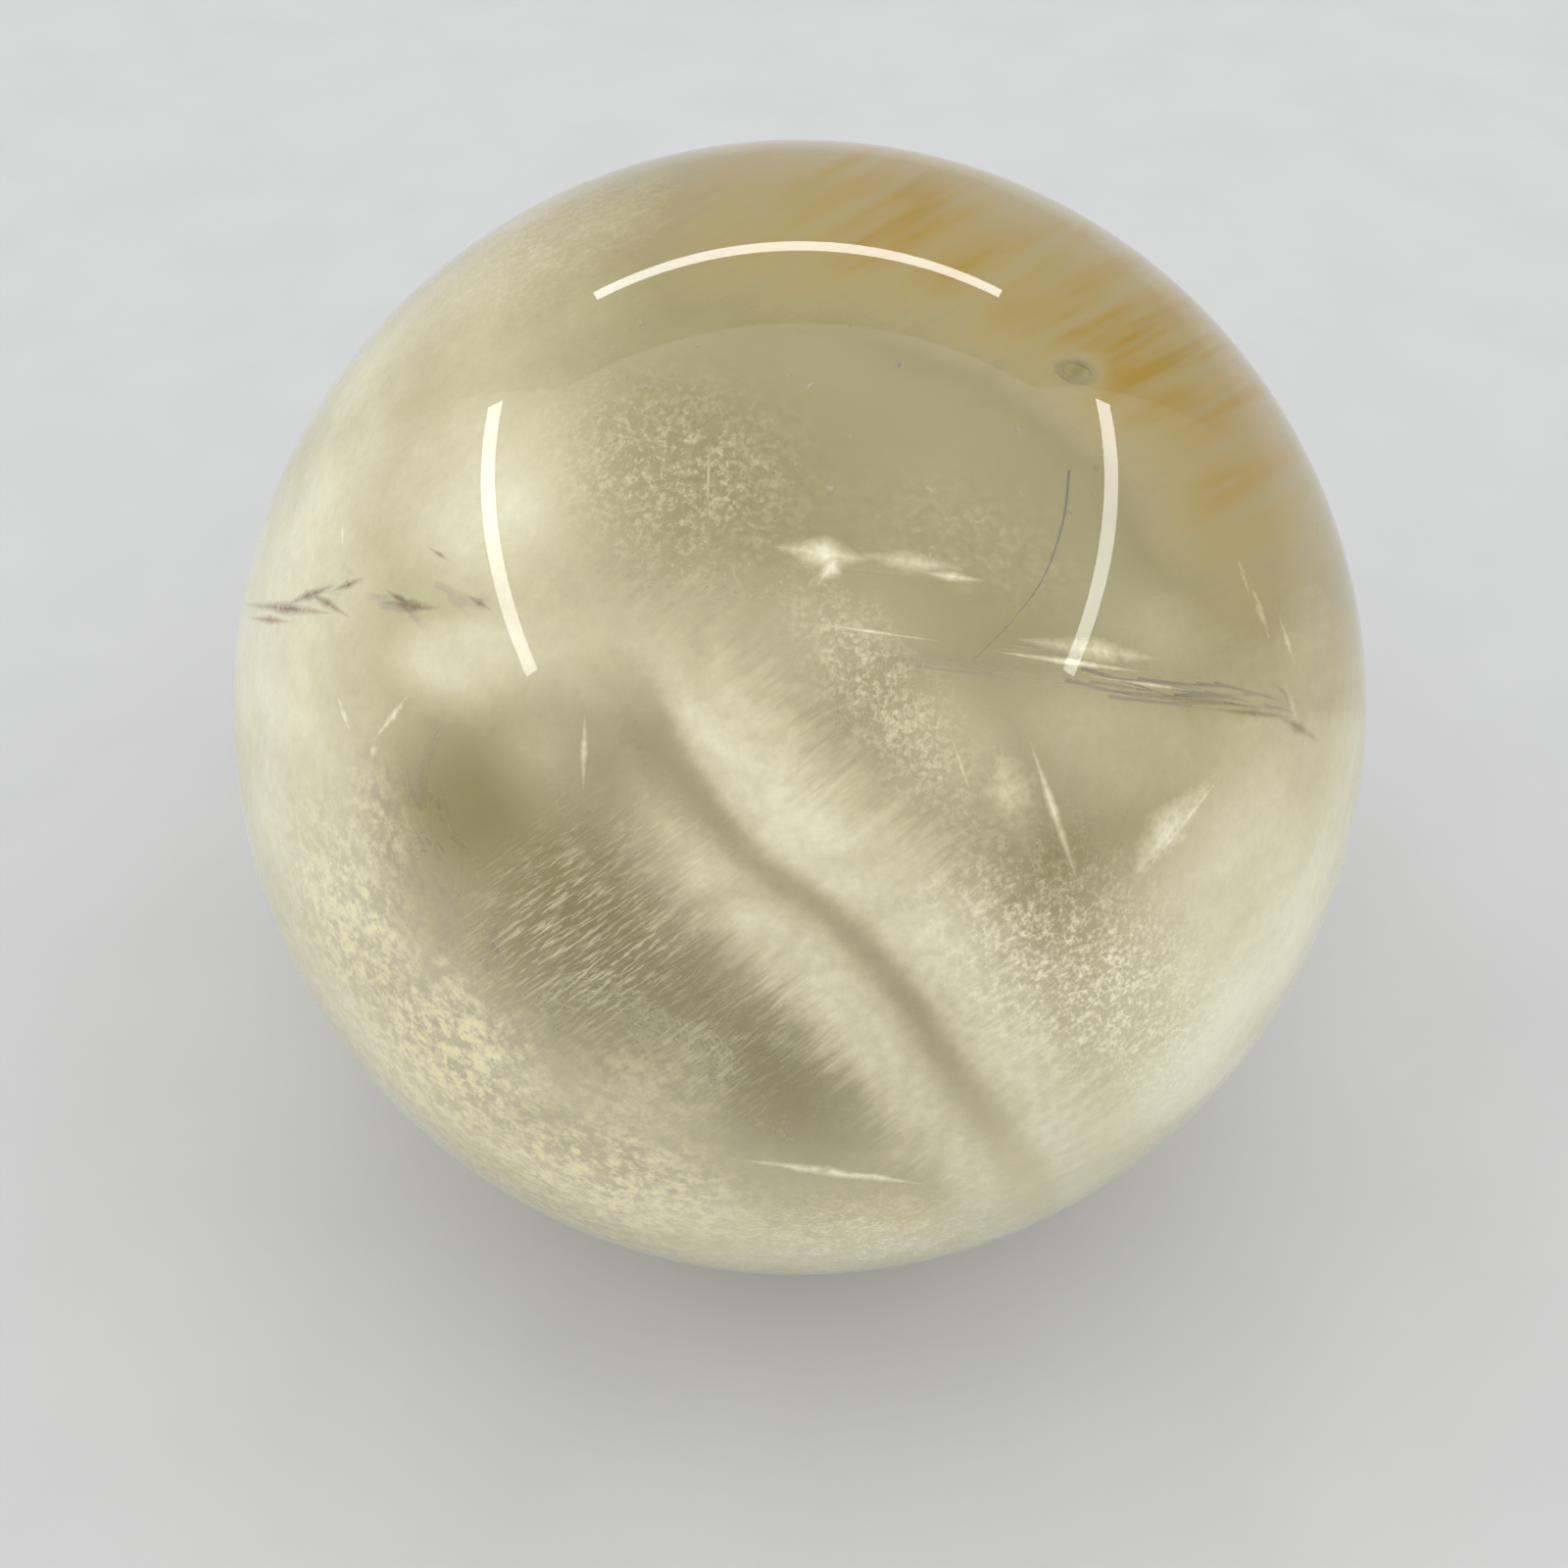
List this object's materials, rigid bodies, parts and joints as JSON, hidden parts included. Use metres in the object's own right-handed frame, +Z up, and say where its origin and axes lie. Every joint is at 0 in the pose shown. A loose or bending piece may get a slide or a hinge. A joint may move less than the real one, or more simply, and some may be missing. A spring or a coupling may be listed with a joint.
{
  "type": "quartz sphere",
  "caption": "Polished solid ball of pale straw-yellow included quartz with milky veils, fracture planes and a golden-brown stained zone, for display on a ring seat.",
  "frame": {"origin": "the ball's centre", "axes": "+Z up as displayed, with the milky veil falling from upper left to lower right for a viewer who looks along +Y and down; the ring seat below is square to Z"},
  "size_m": [0.09, 0.09, 0.09],
  "materials": {
    "quartz": "polished"
  },
  "bodies": {
    "root": {"quartz_sphere": "quartz"}
  },
  "joints": []
}
